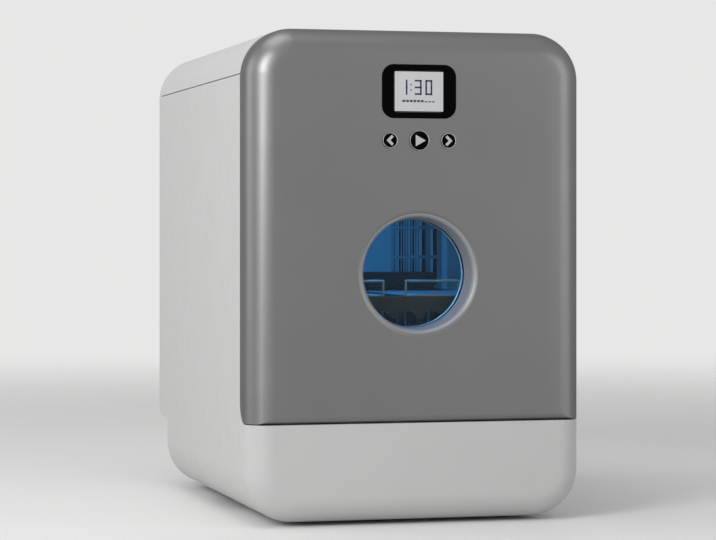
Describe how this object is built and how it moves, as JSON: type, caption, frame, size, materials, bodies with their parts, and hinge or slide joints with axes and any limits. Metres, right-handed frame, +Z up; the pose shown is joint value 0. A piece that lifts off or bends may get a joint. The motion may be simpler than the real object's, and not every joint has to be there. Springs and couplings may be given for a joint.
{
  "type": "countertop dishwasher",
  "caption": "Compact countertop dishwasher with a drop-down metal door, round window, small display, sliding rack, rear water tank with a top filler and internal washing parts.",
  "frame": {"origin": "centre of the footprint on the worktop", "axes": "+Z up, the door faces -Y, +X to the right seen from the front"},
  "size_m": [0.344, 0.4918, 0.49],
  "materials": {
    "white_shell": "satin white",
    "door_metal": "satin silver",
    "white_plastic": "matte",
    "grey_plastic": "matte",
    "dark_plastic": "matte",
    "gloss_black": "gloss",
    "rubber": "matte",
    "steel": "brushed",
    "tub_plastic": "smooth",
    "rack_plastic": "satin",
    "glass": "clear",
    "screen": "lit",
    "board": "laminate",
    "light": "lit",
    "clear_tank": "translucent",
    "motor": "satin",
    "impeller": "matte",
    "float_orange": "matte"
  },
  "bodies": {
    "cabinet": {"outer_shell": "white_shell", "top_cover": "white_shell", "rear_cover": "white_shell", "rear_screws": "steel", "feet": "rubber", "base_tray": "steel", "front_frame": "white_plastic", "hinge_arms": "steel", "hinge_pins": "steel", "keeper_plates": "steel", "tub": "tub_plastic", "door_gasket": "rubber", "rack_rails": "steel", "light_bar": "light", "sump": "grey_plastic", "spray_riser": "grey_plastic", "arm_nut": "grey_plastic", "wash_pump": "motor", "drain_pump": "motor", "heater": "steel", "hoses": "rubber", "water_tank": "clear_tank", "filler_neck": "white_plastic", "fan_housing": "dark_plastic", "power_board": "board", "inlet_valve": "white_plastic", "drain_spigot": "dark_plastic", "mains_inlet": "dark_plastic", "float_switch": "dark_plastic"},
    "door": {"door_fascia": "door_metal", "door_liner": "white_plastic", "hinge_blocks": "dark_plastic", "door_magnets": "steel", "window_bezel": "door_metal", "window_glass": "glass", "window_seal": "rubber", "display_lens": "gloss_black", "lcd_screen": "screen", "display_board": "board", "dispenser_tray": "white_plastic"},
    "rack": {"rack_basket": "rack_plastic", "rack_rim": "rack_plastic", "plate_tines": "rack_plastic", "cutlery_basket": "rack_plastic"},
    "shelf_left": {"cup_shelf_left": "rack_plastic"},
    "shelf_right": {"cup_shelf_right": "rack_plastic"},
    "front_rollers": {"front_rollers": "white_plastic"},
    "rear_rollers": {"rear_rollers": "white_plastic"},
    "spray_arm": {"spray_arm": "grey_plastic"},
    "wash_impeller": {"wash_impeller": "impeller"},
    "drain_impeller": {"drain_impeller": "impeller"},
    "fan_rotor": {"fan_rotor": "dark_plastic"},
    "filler_lid": {"filler_lid": "white_shell", "lid_seal": "rubber"},
    "float": {"float": "float_orange"},
    "dispenser_lid": {"dispenser_lid": "grey_plastic"},
    "filter": {"filter_basket": "grey_plastic"},
    "button_back": {"button_back": "gloss_black"},
    "button_play": {"button_play": "gloss_black"},
    "button_next": {"button_next": "gloss_black"}
  },
  "joints": [
    {"name": "door_hinge", "type": "hinge", "parent": "cabinet", "child": "door", "pos_m": [0, -0.238, 0.109], "axis": [1, 0, 0], "range_deg": [0, 90]},
    {"name": "rack_slide", "type": "slide", "parent": "cabinet", "child": "rack", "axis": [0, -1, 0], "range_m": [0, 0.16]},
    {"name": "front_rollers_spin", "type": "hinge", "parent": "rack", "child": "front_rollers", "pos_m": [0, 0.018, 0.205], "axis": [1, 0, 0], "continuous": true},
    {"name": "rear_rollers_spin", "type": "hinge", "parent": "rack", "child": "rear_rollers", "pos_m": [0, 0.108, 0.205], "axis": [1, 0, 0], "continuous": true},
    {"name": "shelf_left_fold", "type": "hinge", "parent": "rack", "child": "shelf_left", "pos_m": [-0.121, -0.1, 0.2268], "axis": [0, -1, 0], "range_deg": [0, 88]},
    {"name": "shelf_right_fold", "type": "hinge", "parent": "rack", "child": "shelf_right", "pos_m": [0.121, -0.1, 0.2268], "axis": [0, 1, 0], "range_deg": [0, 88]},
    {"name": "spray_arm_spin", "type": "hinge", "parent": "cabinet", "child": "spray_arm", "pos_m": [0, -0.0265, 0.15], "axis": [0, 0, 1], "continuous": true},
    {"name": "wash_impeller_spin", "type": "hinge", "parent": "cabinet", "child": "wash_impeller", "pos_m": [-0.076, 0.0815, 0.06], "axis": [1, 0, 0], "continuous": true},
    {"name": "drain_impeller_spin", "type": "hinge", "parent": "cabinet", "child": "drain_impeller", "pos_m": [0.074, 0.0815, 0.06], "axis": [1, 0, 0], "continuous": true},
    {"name": "fan_spin", "type": "hinge", "parent": "cabinet", "child": "fan_rotor", "pos_m": [0.114, 0.19, 0.261], "axis": [0, 1, 0], "continuous": true},
    {"name": "filler_lid_hinge", "type": "hinge", "parent": "cabinet", "child": "filler_lid", "pos_m": [-0.048, 0.238, 0.487], "axis": [-1, 0, 0], "range_deg": [0, 100]},
    {"name": "float_slide", "type": "slide", "parent": "cabinet", "child": "float", "axis": [0, 0, 1], "range_m": [0, 0.008]},
    {"name": "filter_twist", "type": "hinge", "parent": "cabinet", "child": "filter", "pos_m": [0, 0.0815, 0.12], "axis": [0, 0, 1], "range_deg": [0, 90]},
    {"name": "dispenser_slide", "type": "slide", "parent": "door", "child": "dispenser_lid", "axis": [1, 0, 0], "range_m": [0, 0.044]},
    {"name": "button_back_press", "type": "slide", "parent": "door", "child": "button_back", "axis": [0, 1, 0], "range_m": [0, 0.001], "stiffness_N_per_m": 300},
    {"name": "button_play_press", "type": "slide", "parent": "door", "child": "button_play", "axis": [0, 1, 0], "range_m": [0, 0.001], "stiffness_N_per_m": 300},
    {"name": "button_next_press", "type": "slide", "parent": "door", "child": "button_next", "axis": [0, 1, 0], "range_m": [0, 0.001], "stiffness_N_per_m": 300}
  ],
  "couplings": [
    {"joint": "rack_slide", "follows": "door_hinge", "m_per_rad": 0.1018},
    {"joint": "front_rollers_spin", "follows": "door_hinge", "ratio": 14.542},
    {"joint": "rear_rollers_spin", "follows": "door_hinge", "ratio": 14.542}
  ]
}
